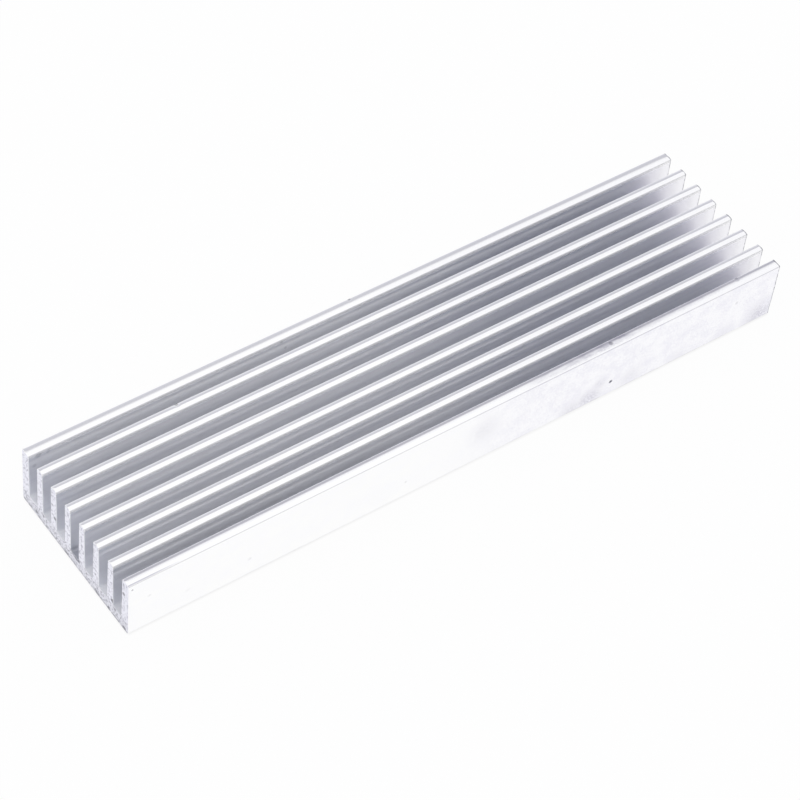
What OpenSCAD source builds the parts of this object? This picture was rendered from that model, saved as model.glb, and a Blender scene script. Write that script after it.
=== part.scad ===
// Extruded aluminium heat sink: one bar with a flat base plate and a row of straight,
// slightly tapered fins with domed tips, sawn to length at both ends.
// The length runs along X, the fins stand side by side along Y and point up along Z.
// The origin is the middle of the flat underside, which presses on the part to be cooled.

/* [Body] */
// Length of the bar between its two sawn ends
body_l = 100; // [20:5:300]
// Width across the outer faces of the two outer fins
body_w = 24.5; // [22:0.5:40]
// Height from the flat underside to the fin tips
body_h = 9.4; // [6:0.2:20]
// Thickness of the base plate under the channels
base_t = 1.8; // [1:0.1:4]
// Radius of the two long lower edges of the base plate
edge_r = 0.4; // [0.2:0.1:1]

/* [Fins] */
// Number of fins, the two outer ones included
fin_count = 8; // [3:1:10]
// Thickness of an inner fin near its tip
fin_tip_t = 1.2; // [0.8:0.05:1.35]
// Thickness of an inner fin where it meets the base plate
fin_root_t = 1.4; // [1.35:0.05:1.8]
// Thickness of each outer fin near its tip
outer_tip_t = 1.5; // [1:0.05:2]
// Radius of the rounded edges along the fin tips
tip_r = 0.2; // [0.1:0.05:0.35]
// Height of the slight dome across each inner fin tip, between its rounded edges
fin_crown = 0.05; // [0.02:0.01:0.12]
// Height of the flatter dome across each outer fin tip
outer_crown = 0.03; // [0.02:0.01:0.1]
// Radius of the fillets where the fins meet the channel floors
root_r = 0.4; // [0.2:0.05:0.7]

/* [Hidden] */
// Straight steps in each rounding of the section
arc_steps = 6;

half_w = body_w / 2;

// Angle by which each channel wall leans away from the upright
draft = atan((fin_root_t - fin_tip_t) / 2 / (body_h - base_t));

// Width of a channel between two fin tips, and the spacing from one channel to the next
mouth_w = (body_w - 2 * outer_tip_t - (fin_count - 2) * fin_tip_t) / (fin_count - 1);
channel_pitch = mouth_w + fin_tip_t;

// Half the width of a channel at height z, before its corners are rounded
function wall_y(z) = mouth_w / 2 - (body_h - z) * tan(draft);

// Centres of the roundings beside a channel, tangent to its leaning wall: of the fillets at
// its floor, and of the edges of a fin tip whose dome has the height crown
root_z = base_t + root_r;
root_y = wall_y(root_z) - root_r / cos(draft);
function tip_z(crown) = body_h - crown - tip_r;
function tip_y(crown) = wall_y(tip_z(crown)) + tip_r / cos(draft);

// Points of an arc about a centre, from one angle to another
function arc(centre, r, from, to) = [
    for (i = [0 : arc_steps])
        let (a = from + (to - from) * i / arc_steps)
            centre + r * [cos(a), sin(a)]
];

// A fin tip from its right side to its left: a rounded edge, the dome, a rounded edge.
// y1 and y2 are the left and right rounding centres, lean1 and lean2 the leans of the walls
function tip(crown, y1, lean1, y2, lean2) =
    let (
        reach = (y2 - y1) / 2,
        dome_r = (reach * reach + crown * (crown + 2 * tip_r)) / (2 * crown),
        dome_a = asin(reach / (dome_r - tip_r)),
        dome = arc([(y1 + y2) / 2, body_h - dome_r], dome_r, 90 - dome_a, 90 + dome_a)
    )
    concat(
        arc([y2, tip_z(crown)], tip_r, lean2, 90 - dome_a),
        [for (i = [1 : arc_steps - 1]) dome[i]],
        arc([y1, tip_z(crown)], tip_r, 90 + dome_a, 180 - lean1)
    );

// A channel floor about Y = y with its two fillets, from the right wall to the left one
function channel_floor(y) = concat(
    arc([y + root_y, root_z], root_r, -draft, -90),
    arc([y - root_y, root_z], root_r, -90, draft - 180)
);

// Middle of channel i, counted from the left
function channel_y(i) = (i - (fin_count - 2) / 2) * channel_pitch;

// An inner fin between channels i and i + 1
function fin(i) = tip(
    fin_crown,
    channel_y(i) + tip_y(fin_crown), draft,
    channel_y(i + 1) - tip_y(fin_crown), draft
);

// The whole section: flat underside, then from right to left the fins and the channels
function section() = concat(
    arc([edge_r - half_w, edge_r], edge_r, 180, 270),
    arc([half_w - edge_r, edge_r], edge_r, 270, 360),
    tip(outer_crown, channel_y(fin_count - 2) + tip_y(outer_crown), draft, half_w - tip_r, 0),
    channel_floor(channel_y(fin_count - 2)),
    [for (i = [fin_count - 3 : -1 : 0]) each concat(fin(i), channel_floor(channel_y(i)))],
    tip(outer_crown, tip_r - half_w, 0, channel_y(0) - tip_y(outer_crown), draft)
);

// The bar, cut from the extruded length
module heat_sink() {
    color("silver")
        rotate([90, 0, 90])
            linear_extrude(height = body_l, center = true)
                polygon(section());
}

heat_sink();
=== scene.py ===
import math

import bmesh
import bpy
import numpy as np
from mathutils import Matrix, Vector, geometry, noise


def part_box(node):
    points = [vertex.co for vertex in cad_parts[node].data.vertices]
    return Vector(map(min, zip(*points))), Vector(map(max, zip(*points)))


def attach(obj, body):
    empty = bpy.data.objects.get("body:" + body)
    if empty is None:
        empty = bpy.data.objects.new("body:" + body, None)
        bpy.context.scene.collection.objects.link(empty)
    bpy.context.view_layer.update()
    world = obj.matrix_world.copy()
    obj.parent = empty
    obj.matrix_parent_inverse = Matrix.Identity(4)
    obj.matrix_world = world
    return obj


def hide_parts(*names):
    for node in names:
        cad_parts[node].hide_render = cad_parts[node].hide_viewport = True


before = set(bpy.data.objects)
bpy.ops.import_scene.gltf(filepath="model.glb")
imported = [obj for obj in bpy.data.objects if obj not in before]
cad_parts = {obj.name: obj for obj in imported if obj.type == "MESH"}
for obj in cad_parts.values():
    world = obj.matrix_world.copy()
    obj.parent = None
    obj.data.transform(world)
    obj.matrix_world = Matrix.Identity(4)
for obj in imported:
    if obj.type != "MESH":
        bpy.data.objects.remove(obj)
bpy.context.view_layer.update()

MM = 0.001

# ======================================================================================
# The section of the bar
# Hot aluminium is pressed through a steel die, which gives base plate and fins one closed
# outline from end to end. It is read from a sawn end of the solid, so the two agree.
# ======================================================================================
low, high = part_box("heat_sink")


def end_outline(solid, x):
    """Corners (y, z) of the section, counterclockwise, from the flat end at x."""
    shape = bmesh.new()
    shape.from_mesh(solid.data)
    bmesh.ops.remove_doubles(shape, verts=shape.verts, dist=0.0001 * MM)
    on_end = {v for v in shape.verts if abs(v.co.x - x) < 0.001 * MM}
    rim = {}
    for edge in shape.edges:
        caps = [f for f in edge.link_faces if on_end.issuperset(f.verts)]
        if len(caps) == 1:
            first, second = edge.verts
            rim.setdefault(first, []).append(second)
            rim.setdefault(second, []).append(first)
    start = min(rim, key=lambda v: (v.co.z, v.co.y))
    path, here, last = [], start, None
    while not path or here is not start:
        path.append((here.co.y, here.co.z))
        last, here = here, next(v for v in rim[here] if v is not last)
    shape.free()
    corners = np.array(path)
    ahead = np.roll(corners, -1, axis=0)
    area = np.sum(corners[:, 0] * ahead[:, 1] - ahead[:, 0] * corners[:, 1])
    return corners if area > 0 else corners[::-1].copy()


def with_flats_split(corners, longest, seat):
    """The outline with each flat split, and a point near both ends to keep it flat."""
    points = []
    for here, ahead in zip(corners, np.roll(corners, -1, axis=0)):
        span = np.linalg.norm(ahead - here)
        points.append(here)
        if span > 6 * seat:
            steps = max(2, math.ceil(span / longest))
            for share in np.linspace(seat / span, 1 - seat / span, steps):
                points.append(here + (ahead - here) * share)
    return np.array(points)


def outward(points):
    """Unit normals (y, z) at the points of a counterclockwise outline."""
    along = np.roll(points, -1, axis=0) - points
    along /= np.linalg.norm(along, axis=1)[:, None]
    along = along + np.roll(along, 1, axis=0)
    along /= np.linalg.norm(along, axis=1)[:, None]
    return np.stack([along[:, 1], -along[:, 0]], axis=1)


outline = with_flats_split(
    end_outline(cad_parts["heat_sink"], low.x), longest=0.8 * MM, seat=0.04 * MM
)
facing = outward(outline)
columns = len(outline)

# ======================================================================================
# The bar
# One aluminium extrusion, sawn to length and lightly deburred. Its fins stand a few
# hundredths of a millimetre off true, with small knocks on the tips and the outer faces.
# ======================================================================================
NEAR_BREAK = 0.06 * MM
FAR_BREAK = 0.14 * MM

# Knocks: x, y and z of the middle, radius and depth, all in millimetres
KNOCKS = [
    (-47.1, -12.25, 5.8, 0.22, 0.04),
    (-49.5, -12.25, 8.5, 0.20, 0.06),
    (-32.9, -12.25, 3.1, 0.20, 0.04),
    (-9.8, -12.25, 2.9, 0.18, 0.05),
    (22.7, -12.25, 2.5, 0.28, 0.12),
    (43.2, -12.25, 6.0, 0.22, 0.05),
    (-30.4, 8.6, 9.4, 0.30, 0.08),
    (-2.2, 12.1, 9.3, 0.22, 0.06),
    (43.4, -11.0, 9.35, 0.22, 0.06),
    (-21.5, -9.0, 0.0, 0.40, 0.05),
    (13.0, 4.0, 0.0, 0.50, 0.05),
    (31.0, 12.25, 5.2, 0.30, 0.07),
    (-38.0, 12.25, 2.4, 0.22, 0.05),
]

steps = np.linspace(0, math.pi / 2, 5)
from_end = 1 - np.cos(steps)
from_side = 1 - np.sin(steps)
plain = np.linspace(low.x + 2 * FAR_BREAK, high.x - 2 * FAR_BREAK, 96)
close = [k[0] * MM + k[3] * MM * s for k in KNOCKS for s in (-1.6, -1, -0.5, 0, 0.5, 1, 1.6)]
close = [x for x in close if low.x + 0.3 * MM < x < high.x - 0.3 * MM]
middle = np.sort(np.concatenate([plain, close]))
middle = middle[np.concatenate([[True], np.diff(middle) > 0.03 * MM])]
near_x = low.x + NEAR_BREAK * from_end
far_x = (high.x - FAR_BREAK * from_end)[::-1]
ring_x = np.concatenate([near_x, middle, far_x])
ring_in = np.concatenate(
    [NEAR_BREAK * from_side, np.zeros(len(middle)), FAR_BREAK * from_side[::-1]]
)
rings = len(ring_x)

shape = np.zeros((rings, columns, 3))
shape[:, :, 0] = ring_x[:, None]
shape[:, :, 1:] = outline[None] - facing[None] * ring_in[:, None, None]
normal = np.zeros((columns, 3))
normal[:, 1:] = facing


def sway(x, y, size):
    """Slow change along the bar, different for each fin."""
    return noise.noise(Vector((x / size, y / (4 * MM), 3.7)))


for ring in range(rings):
    x = ring_x[ring]
    for column, (y, z) in enumerate(outline):
        tall = max(0.0, (z - 2.2 * MM) / (high.z - 2.2 * MM))
        if tall > 0 and abs(y) < high.y - 1.6 * MM:
            fin = round((y / MM + 1.625) / 3.25)
            shape[ring, column, 1] += 0.035 * MM * tall ** 2 * sway(x, fin * 9 * MM, 24 * MM)

for x, y, z, radius, depth in KNOCKS:
    centre = np.array([x, y, z]) * MM
    away = np.linalg.norm(shape - centre, axis=2) / (radius * MM)
    dip = np.exp(-away ** 2) * (1 + 0.25 * np.cos(3 * away))
    shape -= normal[None] * (depth * MM * dip)[:, :, None]

# Ragged lip that the saw leaves at both ends, kept inside the length of the bar
for ring in list(range(5)) + list(range(rings - 5, rings)):
    for column, (y, z) in enumerate(outline):
        at = Vector((y, z, ring_x[ring] * 0.2)) / (0.5 * MM)
        torn = max(0.0, noise.noise(at) - 0.15)
        burr = noise.noise(at * 0.6 + Vector((9, 4, 1)))
        share = 1 if 1 <= ring < 4 or rings - 4 < ring < rings - 1 else 0.5
        shape[ring, column] += normal[column] * (0.11 * max(0.0, burr - 0.1) - 0.10 * torn) * share * MM
shape = np.clip(shape, np.array(low), np.array(high))

index = np.arange(rings * columns).reshape(rings, columns)
ahead = np.roll(index, -1, axis=1)
quads = np.stack([index[:-1], ahead[:-1], ahead[1:], index[1:]], axis=-1).reshape(-1, 4)
verts = [tuple(p) for p in shape.reshape(-1, 3)]
faces = [tuple(q) for q in quads]
skin_faces = len(faces)


def close_end(ring, x, spacing):
    """Fills a sawn end with triangles whose corners follow the saw's fine ridges."""
    rim = shape[ring, :, 1:]
    rows = np.arange(rim[:, 0].min(), rim[:, 0].max(), spacing)
    tiers = np.arange(rim[:, 1].min(), rim[:, 1].max(), spacing)
    grid = np.array([(y, z) for y in rows for z in tiers])
    step = np.roll(rim, -1, axis=0) - rim
    along = ((grid[:, None] - rim) * step).sum(axis=2) / (step ** 2).sum(axis=1)
    nearest = rim + step * np.clip(along, 0, 1)[:, :, None]
    clear = np.linalg.norm(grid[:, None] - nearest, axis=2).min(axis=1) > 0.03 * MM
    loose = [Vector(p) for p in rim] + [Vector(p) for p in grid[clear]]
    loop = [(i, (i + 1) % columns) for i in range(columns)]
    points, _, triangles, origins, _, _ = geometry.delaunay_2d_cdt(
        loose, loop, [list(range(columns))], 2, 1e-7
    )
    number = {}
    for i, origin in enumerate(origins):
        on_rim = [o for o in origin if o < columns]
        if on_rim:
            number[i] = int(index[ring, on_rim[0]])
    inward = 1 if x < 0 else -1
    for triangle in triangles:
        corners = []
        for i in triangle:
            if i not in number:
                y, z = points[i]
                ridge = 0.5 + 0.5 * noise.noise(Vector((y / (0.9 * MM), z / (0.25 * MM), x)))
                number[i] = len(verts)
                verts.append((x + inward * 0.03 * MM * ridge, y, z))
            corners.append(number[i])
        faces.append(tuple(corners[::-1] if x < 0 else corners))


close_end(0, low.x, 0.22 * MM)
close_end(rings - 1, high.x, 0.22 * MM)

bar_mesh = bpy.data.meshes.new("finned_bar")
bar_mesh.from_pydata(verts, [], faces)
bar_mesh.update()
sawn_face = [0] * skin_faces + [1] * (len(faces) - skin_faces)
bar_mesh.polygons.foreach_set("material_index", sawn_face)
bar_mesh.polygons.foreach_set("use_smooth", [True] * len(faces))

# Unrolled skin: along the bar and round its outline, so that the grain knows its direction
girth = np.linalg.norm(np.roll(outline, -1, axis=0) - outline, axis=1)
girth = np.concatenate([[0], np.cumsum(girth)])
unrolled = np.zeros((len(bar_mesh.loops), 2))
loop_vertex = np.zeros(len(bar_mesh.loops), dtype=int)
bar_mesh.loops.foreach_get("vertex_index", loop_vertex)
skin_loops = 4 * skin_faces
of_skin = loop_vertex[:skin_loops].reshape(-1, 4)
unrolled[:skin_loops, 0] = ring_x[of_skin // columns].ravel()
last_column = (of_skin[:, :1] % columns == columns - 1) & (of_skin % columns == 0)
unrolled[:skin_loops, 1] = np.where(last_column, girth[-1], girth[of_skin % columns]).ravel()
all_places = np.array(verts)
unrolled[skin_loops:] = all_places[loop_vertex[skin_loops:]][:, 1:]
bar_mesh.uv_layers.new(name="grain").data.foreach_set("uv", unrolled.ravel())

bar = bpy.data.objects.new("finned_bar", bar_mesh)
bpy.context.scene.collection.objects.link(bar)
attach(bar, "root")
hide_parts("heat_sink")


class Value:
    """A socket in a material. Arithmetic on it adds the Math node that does the same."""

    def __init__(self, tree, socket=None):
        self.tree = tree
        self.socket = socket

    def node(self, kind, settings=None, inputs=None, output=0):
        made = self.tree.nodes.new(kind)
        for name, setting in (settings or {}).items():
            if name == "stops":
                ramp = made.color_ramp.elements
                while len(ramp) < len(setting):
                    ramp.new(1.0)
                for stop, (place, colour) in zip(ramp, setting):
                    stop.position = place
                    stop.color = (*colour, 1)
            else:
                setattr(made, name, setting)
        for name, value in (inputs or {}).items():
            if isinstance(value, Value):
                self.tree.links.new(value.socket, made.inputs[name])
            else:
                made.inputs[name].default_value = value
        return Value(self.tree, made.outputs[output] if made.outputs else None)

    def math(self, operation, *values):
        return self.node("ShaderNodeMath", {"operation": operation}, dict(enumerate(values)))

    def __add__(self, other):
        return self.math("ADD", self, other)

    def __sub__(self, other):
        return self.math("SUBTRACT", self, other)

    def __rsub__(self, other):
        return self.math("SUBTRACT", other, self)

    def __mul__(self, other):
        return self.math("MULTIPLY", self, other)

    __radd__ = __add__
    __rmul__ = __mul__

    def between(self, start, end):
        """0 up to start and 1 from end on, with a soft change between them."""
        return self.node(
            "ShaderNodeMapRange",
            {"interpolation_type": "SMOOTHSTEP"},
            {"Value": self, "From Min": start, "From Max": end},
        )

    def mixed(self, first, second):
        """A colour between first and second, by this value."""
        return self.node(
            "ShaderNodeMix",
            {"data_type": "RGBA"},
            {"Factor": self, "A": first, "B": second},
            output="Result",
        )


def new_material(name):
    made = bpy.data.materials.new(name)
    made.use_nodes = True
    made.node_tree.nodes.clear()
    return made, Value(made.node_tree)


def grey(level):
    """A pale metal colour, a little bluer than neutral."""
    return (level, level, min(1.0, level * 1.02), 1)


def tinted(s, colour, tint):
    """A colour multiplied by a tint."""
    return s.node("ShaderNodeVectorMath", {"operation": "MULTIPLY"}, {0: colour, 1: tint})


extruded, s = new_material("extruded_aluminium")
place = s.node("ShaderNodeTexCoord", output="Object")
in_mm = s.node("ShaderNodeVectorMath", {"operation": "SCALE"}, {0: place, "Scale": 1000.0})
x_mm = s.node("ShaderNodeSeparateXYZ", {}, {"Vector": in_mm}, "X")
y_mm = s.node("ShaderNodeSeparateXYZ", {}, {"Vector": in_mm}, "Y")
z_mm = s.node("ShaderNodeSeparateXYZ", {}, {"Vector": in_mm}, "Z")


def cloud(scale, detail, stretch=(1, 1, 1)):
    """Noise of a number of cells per millimetre, drawn out where a stretch is below 1."""
    at = s.node("ShaderNodeVectorMath", {"operation": "MULTIPLY"}, {0: in_mm, 1: stretch})
    return s.node(
        "ShaderNodeTexNoise", {}, {"Vector": at, "Scale": scale, "Detail": detail}, "Fac"
    )


def marks(places, soft=0.6):
    """Ragged round marks, each with x, y, z, radius in millimetres and strength."""
    wander = s.node("ShaderNodeTexNoise", {}, {"Vector": in_mm, "Scale": 5.0}, "Color")
    at = s.node("ShaderNodeVectorMath", {"operation": "ADD"}, {0: in_mm, 1: (-0.1, -0.1, -0.1)})
    at = s.node(
        "ShaderNodeVectorMath",
        {"operation": "MULTIPLY_ADD"},
        {0: wander, 1: (0.2, 0.2, 0.2), 2: at},
    )
    found = None
    for x, y, z, radius, strength in places:
        away = s.node(
            "ShaderNodeVectorMath", {"operation": "DISTANCE"}, {0: at, 1: (x, y, z)}, "Value"
        )
        mark = (1 - away.between((1 - soft) * radius, radius)) * strength
        found = s.math("MAXIMUM", found, mark) if found else mark
    return found


die_lines = cloud(2.4, 2.0, (0.0025, 1, 1))
threads = cloud(4.6, 1.0, (0.002, 1, 1))
mottle = cloud(0.55, 5.0)
grit = cloud(3.5, 2.0)

# The channels keep the dull skin from the die. Their floors and far half are darkened by painted shade,
# and their far end is lightened by painted light.
inner_wall = (high.y - 1.46 * MM) / MM
side = s.math("ABSOLUTE", y_mm)
in_channel = (1 - side.between(inner_wall, inner_wall + 0.05)) * (1 - z_mm.between(8.7, 9.1))
in_channel = in_channel * z_mm.between(0.5, 1.0)
worn = cloud(0.45, 1.0, (0.02, 1, 0.2)).between(0.40, 0.60)
scores = die_lines.between(0.53, 0.64) * (0.45 + 0.55 * worn)
dull = 0.4 * die_lines.between(0.42, 0.58) + 0.6 * threads.between(0.44, 0.58)
dull = dull * (1 - 0.8 * z_mm.between(8.1, 8.4) * (1 - z_mm.between(8.6, 8.7)))
far_end = x_mm.between(43.0, 47.0)
channel_colour = scores.mixed((0.970, 0.975, 1.0, 1), (0.920, 0.925, 0.965, 1))
# Painted shade: the channel walls are darker towards the far half
channel_colour = x_mm.between(-10, 24).mixed(
    channel_colour, tinted(s, channel_colour, (0.940, 0.944, 0.960))
)
# Painted light: the channel walls turn pale lavender at the far end
channel_colour = far_end.mixed(channel_colour, (0.970, 0.965, 1.0, 1))
# Painted shade: the channel floors are darker, except close to the near end
floor_shade = (1 - z_mm.between(1.9, 2.6)) * x_mm.between(-48, -44)
channel_colour = floor_shade.mixed(
    channel_colour, tinted(s, channel_colour, (0.80, 0.80, 0.82))
)
last_channel = (1 - y_mm.between(-8.0, -7.0)) * (1 - 0.7 * x_mm.between(-25, 5))
channel_colour = last_channel.mixed(
    channel_colour, tinted(s, channel_colour, (0.965, 0.965, 0.965))
)
near_end = 1 - x_mm.between(-51, -44.5)
channel_colour = near_end.mixed(
    channel_colour, tinted(s, channel_colour, (0.915, 0.92, 0.938))
)
# A dark patch at the foot of the middle channel, close to the near end
dark_marks = (1 - x_mm.between(-49.4, -48.4)) * (1 - z_mm.between(1.9, 2.4))
dark_marks = dark_marks * (1 - s.math("ABSOLUTE", y_mm).between(1.0, 1.3))
channel_colour = (0.7 * dark_marks).mixed(
    channel_colour, tinted(s, channel_colour, (0.40, 0.41, 0.45))
)
scuff = z_mm.between(7.55, 7.8) * (1 - z_mm.between(8.15, 8.4))
scuff = scuff * (0.6 + 0.4 * cloud(0.5, 3.0, (0.15, 1, 0.3)).between(0.35, 0.65))
scuff = scuff * (0.40 + 0.25 * y_mm.between(9, 10)) * (1 - 0.7 * x_mm.between(5, 40))
dust = cloud(2.4, 1.0).between(0.74, 0.78)
oxide = 0.04 + 0.14 * (1 - x_mm.between(-10, 24)) + 0.62 * dull
oxide = oxide - 0.05 * last_channel
oxide = in_channel * (oxide + scuff + 0.4 * dust)
oxide = oxide * (1 - 0.4 * near_end) * (1 - far_end)
lip = z_mm.between(8.7, 9.05) * (1 - z_mm.between(9.24, 9.30))
lip = lip * (1 - side.between(inner_wall, inner_wall + 0.05))
swarf = (1 - x_mm.between(-49.3, -47.8)) * (1 - z_mm.between(1.9, 2.4)) * (1 - dark_marks)
oxide = oxide + 0.60 * lip + 0.6 * in_channel * swarf
oxide = s.math("MINIMUM", oxide, 1.0)

# The outer faces are bright, with one half of them mottled and stained. Painted shade draws dark lines
# on the outer fin's top and darkens the far part of the fin tips.
outer_face = side.between(12.15, 12.22)
half = (x_mm + 14.0 * mottle).between(0.0, 18.0)
outer_colour = (0.5 * die_lines + 0.5 * mottle).between(0.35, 0.65).mixed(grey(0.985), grey(1.0))
tarnish = (0.55 * mottle + 0.45 * grit).between(0.36, 0.60)
tarnish = tarnish.mixed((0.890, 0.885, 0.945, 1), (0.975, 0.972, 0.998, 1))
outer_colour = (outer_face * half).mixed(outer_colour, tarnish)
stains = marks([
    (19.3, -12.25, 1.0, 3.0, 1.0),
    (20.8, -12.25, 3.2, 1.8, 0.6),
    (16.5, -12.25, 0.4, 3.0, 0.6),
    (26.0, -12.25, 1.4, 3.0, 0.4),
    (2.0, -12.25, 5.5, 3.6, 0.35),
    (48.4, -12.25, 0.8, 4.6, 1.0),
    (42.0, -12.25, 0.2, 3.2, 0.4),
    (34.0, -12.25, 0.2, 3.2, 0.3),
], soft=1.0)
stained = stains * (0.4 * mottle + 0.6 * grit).between(0.34, 0.58)
smear_y = y_mm + 0.5 * (grit - 0.5) - 0.012 * (x_mm - 20)
smear = smear_y.between(-12.10, -11.60) * (1 - smear_y.between(-11.05, -10.80))
smear = smear * z_mm.between(9.25, 9.3) * (0.5 * x_mm.between(8, 12) + 0.5 * x_mm.between(13, 20))
smear = smear * (1 - 0.6 * x_mm.between(24.5, 26.5)) * (1 - x_mm.between(38, 46))
smear = smear * (0.5 + 0.5 * cloud(1.6, 3.0, (0.4, 1, 1)).between(0.40, 0.60))
specks = cloud(4.5, 2.0).between(0.60, 0.70) * (0.25 + 0.75 * stains)
specks = specks * outer_face * half
# Painted shade: dark lines along the outer fin's top, at its back and, near the near end, at its front
# edge
tip_line_shade = y_mm.between(-11.30, -11.15) * (1 - y_mm.between(-11.0, -10.85)) * z_mm.between(9.25, 9.3)
edge = y_mm.between(-12.18, -12.10) * (1 - y_mm.between(-12.00, -11.92))
edge = edge * z_mm.between(9.25, 9.3) * (1 - x_mm.between(-47.5, -42))
tip_line_shade = s.math("MAXIMUM", tip_line_shade, 1.7 * edge)
outer_colour = (0.35 * tip_line_shade).mixed(outer_colour, (0.42, 0.41, 0.50, 1))
# Painted shade: the fin tips are darker along the far part of the bar
far_tips = z_mm.between(9.1, 9.15) * x_mm.between(-10, 20)
outer_colour = far_tips.mixed(outer_colour, tinted(s, outer_colour, (0.955, 0.955, 0.965)))
outer_colour = (0.80 * stained).mixed(outer_colour, (0.60, 0.59, 0.68, 1))
outer_colour = (0.35 * specks).mixed(outer_colour, (0.45, 0.44, 0.54, 1))
outer_colour = (0.62 * smear).mixed(outer_colour, (0.42, 0.41, 0.50, 1))
skin_colour = in_channel.mixed(outer_colour, channel_colour)

# Dirt sits in the knocks. Painted shade draws a dark broken rim along the far sawn edge and a thin dark
# line along both foot edges.
pits = marks([
    (-49.5, -12.25, 8.5, 0.20, 0.5),
    (-47.1, -12.25, 5.8, 0.30, 0.10),
    (-32.9, -12.25, 3.1, 0.40, 0.08),
    (-9.8, -12.25, 2.9, 0.25, 0.15),
    (-41.7, -12.25, 3.1, 0.45, 0.04),
    (22.7, -12.25, 2.5, 0.36, 1.0),
    (43.2, -12.25, 6.0, 0.34, 0.2),
    (22.2, -11.4, 9.4, 0.40, 0.55),
    (-30.4, 8.6, 9.4, 0.34, 0.6),
    (-2.2, 12.1, 9.3, 0.30, 0.7),
    (43.4, -10.85, 9.3, 0.34, 0.5),
    (-13.4, 10.7, 8.9, 0.30, 0.30),
    (-12.7, 10.7, 7.5, 0.30, 0.30),
    (-48.6, 10.7, 8.8, 0.60, 0.28),
    (-47.2, 10.7, 8.8, 0.45, 0.24),
    (-49.2, 10.7, 7.2, 0.45, 0.20),
])
# Painted shade: a dark broken rim along the far end
far_rim_shade = x_mm.between(49.74, 49.84) * (0.30 + 0.70 * cloud(2.2, 2.0).between(0.35, 0.6))
# Painted shade: a thin dark line along both foot edges, stronger towards the far end, with darker
# dashes
foot_shade_line = (1 - z_mm.between(0.24, 0.42)) * cloud(0.8, 3.0, (0.4, 1, 1)).between(0.36, 0.60)
dashes = x_mm.between(-34, -33) * (1 - x_mm.between(-25, -24)) * die_lines.between(0.3, 0.5)
foot_shade_line = foot_shade_line * side.between(11.80, 12.00) * (0.03 + 0.43 * x_mm.between(-15, 25) + 0.30 * dashes)
dirt_and_painted_shade = s.math("MAXIMUM", pits, 0.75 * far_rim_shade)
dirt_and_painted_shade = s.math("MAXIMUM", dirt_and_painted_shade, foot_shade_line)
skin_colour = dirt_and_painted_shade.mixed(skin_colour, (0.16, 0.16, 0.20, 1))
skin_rough = 0.08 + 0.22 * in_channel + 0.04 * die_lines
relief = s.node(
    "ShaderNodeBump",
    {},
    {"Height": die_lines, "Strength": 1.0, "Distance": 0.0008 * MM},
)
grain = s.node("ShaderNodeTangent", {"direction_type": "UV_MAP", "uv_map": "grain"})
metal = s.node(
    "ShaderNodeBsdfPrincipled",
    {},
    {
        "Base Color": skin_colour,
        "Metallic": 1 - oxide,
        "Roughness": skin_rough,
        "Normal": relief,
        "Anisotropic": 0.8,
        "Anisotropic Rotation": 0.25,
        "Tangent": grain,
    },
)
s.node("ShaderNodeOutputMaterial", {}, {"Surface": metal})

# The saw leaves the ends pale and speckled, with grime caught along the base plate
sawn, s = new_material("sawn_aluminium")
place = s.node("ShaderNodeTexCoord", output="Object")
in_mm = s.node("ShaderNodeVectorMath", {"operation": "SCALE"}, {0: place, "Scale": 1000.0})
z_mm = s.node("ShaderNodeSeparateXYZ", {}, {"Vector": in_mm}, "Z")
in_base = 1 - z_mm.between(1.4, 2.8)
sawn_colour = cloud(2.2, 5.0).between(0.34, 0.54).mixed(
    (0.60, 0.60, 0.68, 1), (0.92, 0.92, 1.0, 1)
)
sawn_colour = in_base.mixed(sawn_colour, tinted(s, sawn_colour, (0.90, 0.90, 0.90)))
specks = (cloud(3.2, 3.0) + 0.05 * in_base).between(0.62, 0.68)
dots = marks([
    (-50, -8.7, 2.6, 0.42, 1.0),
    (-50, -9.2, 1.7, 0.36, 0.9),
    (-50, -6.3, 1.9, 0.34, 0.7),
    (-50, -7.8, 0.15, 0.42, 0.8),
    (-50, -5.1, 0.3, 0.38, 0.7),
    (-50, -11.3, 0.3, 0.45, 0.7),
    (-50, 1.9, 0.1, 0.45, 0.8),
    (-50, 9.0, 0.6, 0.36, 0.7),
    (-50, 7.05, 1.85, 0.36, 0.8),
    (-50, 9.2, 2.1, 0.36, 0.7),
    (-50, 4.6, 4.0, 0.36, 0.7),
    (-50, -11.1, 6.8, 0.34, 0.6),
    (-50, 10.6, 8.7, 0.40, 0.6),
    (-50, -0.8, 1.75, 0.44, 0.8),
    (-50, -0.2, 1.70, 0.44, 0.8),
    (-50, 0.5, 1.75, 0.36, 0.6),
], soft=0.4)
lowest = (1 - z_mm.between(0.15, 0.50)) * cloud(1.6, 3.0).between(0.36, 0.58)
dark_marks = s.math("MAXIMUM", 0.7 * specks, dots)
dark_marks = s.math("MAXIMUM", dark_marks, 0.6 * lowest)
sawn_colour = dark_marks.mixed(sawn_colour, (0.13, 0.13, 0.17, 1))
metal = s.node(
    "ShaderNodeBsdfPrincipled",
    {},
    {"Base Color": sawn_colour, "Metallic": 1.0, "Roughness": 0.42},
)
s.node("ShaderNodeOutputMaterial", {}, {"Surface": metal})
bar_mesh.materials.append(extruded)
bar_mesh.materials.append(sawn)

# ======================================================================================
# The table
# White paper, seen white by the camera and in the metal. It keeps the soft shadow that
# gathers where the bar touches it.
# ======================================================================================
TABLE_HALF = 1.5

table_mesh = bpy.data.meshes.new("table")
corners = [(-TABLE_HALF, -TABLE_HALF), (TABLE_HALF, -TABLE_HALF)]
corners += [(-x, -y) for x, y in corners]
table_mesh.from_pydata([(x, y, -0.02 * MM) for x, y in corners], [], [(0, 1, 2, 3)])
table = bpy.data.objects.new("table", table_mesh)
bpy.context.scene.collection.objects.link(table)

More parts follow.
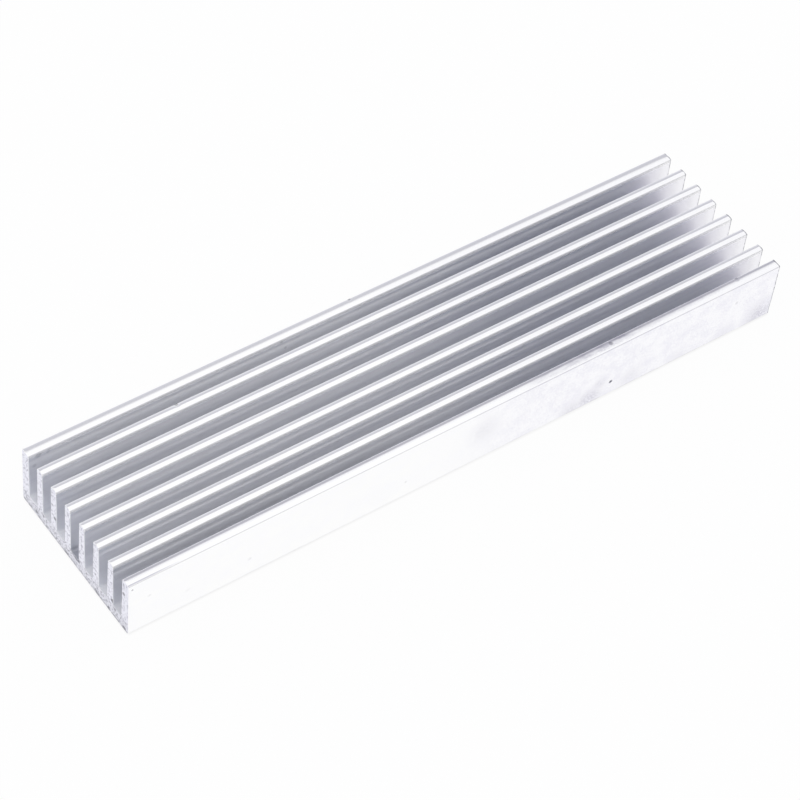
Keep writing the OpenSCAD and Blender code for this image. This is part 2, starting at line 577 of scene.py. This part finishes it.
paper, s = new_material("white_paper")
seen = s.node("ShaderNodeLightPath", output="Is Camera Ray")
for ray in ("Is Glossy Ray", "Is Transmission Ray"):
    seen = s.math("MAXIMUM", seen, s.node("ShaderNodeLightPath", output=ray))
open_sky = s.node(
    "ShaderNodeAmbientOcclusion", {"samples": 8}, {"Distance": 0.4 * MM}, output="AO"
)
white = s.node("ShaderNodeEmission", {}, {"Strength": 0.91 + 0.09 * open_sky.between(0.3, 0.9)})
lit = s.node("ShaderNodeBsdfDiffuse", {}, {"Color": (0.93, 0.93, 0.94, 1)})
paper_look = s.node("ShaderNodeMixShader", {}, {0: seen * 0.95, 1: lit, 2: white})
s.node("ShaderNodeOutputMaterial", {}, {"Surface": paper_look})
table_mesh.materials.append(paper)

# ======================================================================================
# The light
# One long soft light hangs overhead, with its back edge along the fins. The darker gap
# behind it draws the grey lines on the fin tips, above the bright low background.
# ======================================================================================
studio = bpy.data.worlds.new("studio")
bpy.context.scene.world = studio
studio.use_nodes = True
studio.node_tree.nodes.clear()
s = Value(studio.node_tree)
way = s.node("ShaderNodeTexCoord", output="Generated")
along_y = s.node("ShaderNodeSeparateXYZ", {}, {"Vector": way}, "Y")
height = s.node("ShaderNodeSeparateXYZ", {}, {"Vector": way}, "Z")
lean = s.math("ARCTAN2", along_y, height) * (180 / math.pi)
level = s.node(
    "ShaderNodeValToRGB",
    {
        "stops": [
            (0.00, (0.45, 0.45, 0.46)),
            (0.11, (0.60, 0.60, 0.61)),
            (0.22, (0.92, 0.92, 0.93)),
            (0.33, (1.00, 1.00, 1.01)),
            (0.69, (1.02, 1.02, 1.03)),
            (0.71, (0.56, 0.56, 0.61)),
            (0.80, (0.70, 0.70, 0.75)),
            (0.92, (1.00, 1.00, 1.01)),
        ]
    },
    {"Fac": (lean + 90.0) * (1 / 180)},
)
sky = s.node("ShaderNodeBackground", {}, {"Color": level})
s.node("ShaderNodeOutputWorld", {}, {"Surface": sky})

# ======================================================================================
# The camera
# It looks down over the front left corner of the bar from about a third of a metre.
# ======================================================================================
lens = bpy.data.cameras.new("camera")
lens.lens = 127.9
lens.clip_start = 10 * MM
camera = bpy.data.objects.new("camera", lens)
camera.location = Vector((-156.3, -180.1, 276.1)) * MM
camera.rotation_euler = [math.radians(turn) for turn in (40.60, -4.68, -35.17)]
bpy.context.scene.collection.objects.link(camera)
bpy.context.scene.camera = camera
bpy.context.scene.view_settings.view_transform = "Standard"
bpy.context.scene.cycles.glossy_bounces = 24
bpy.context.scene.cycles.max_bounces = 24
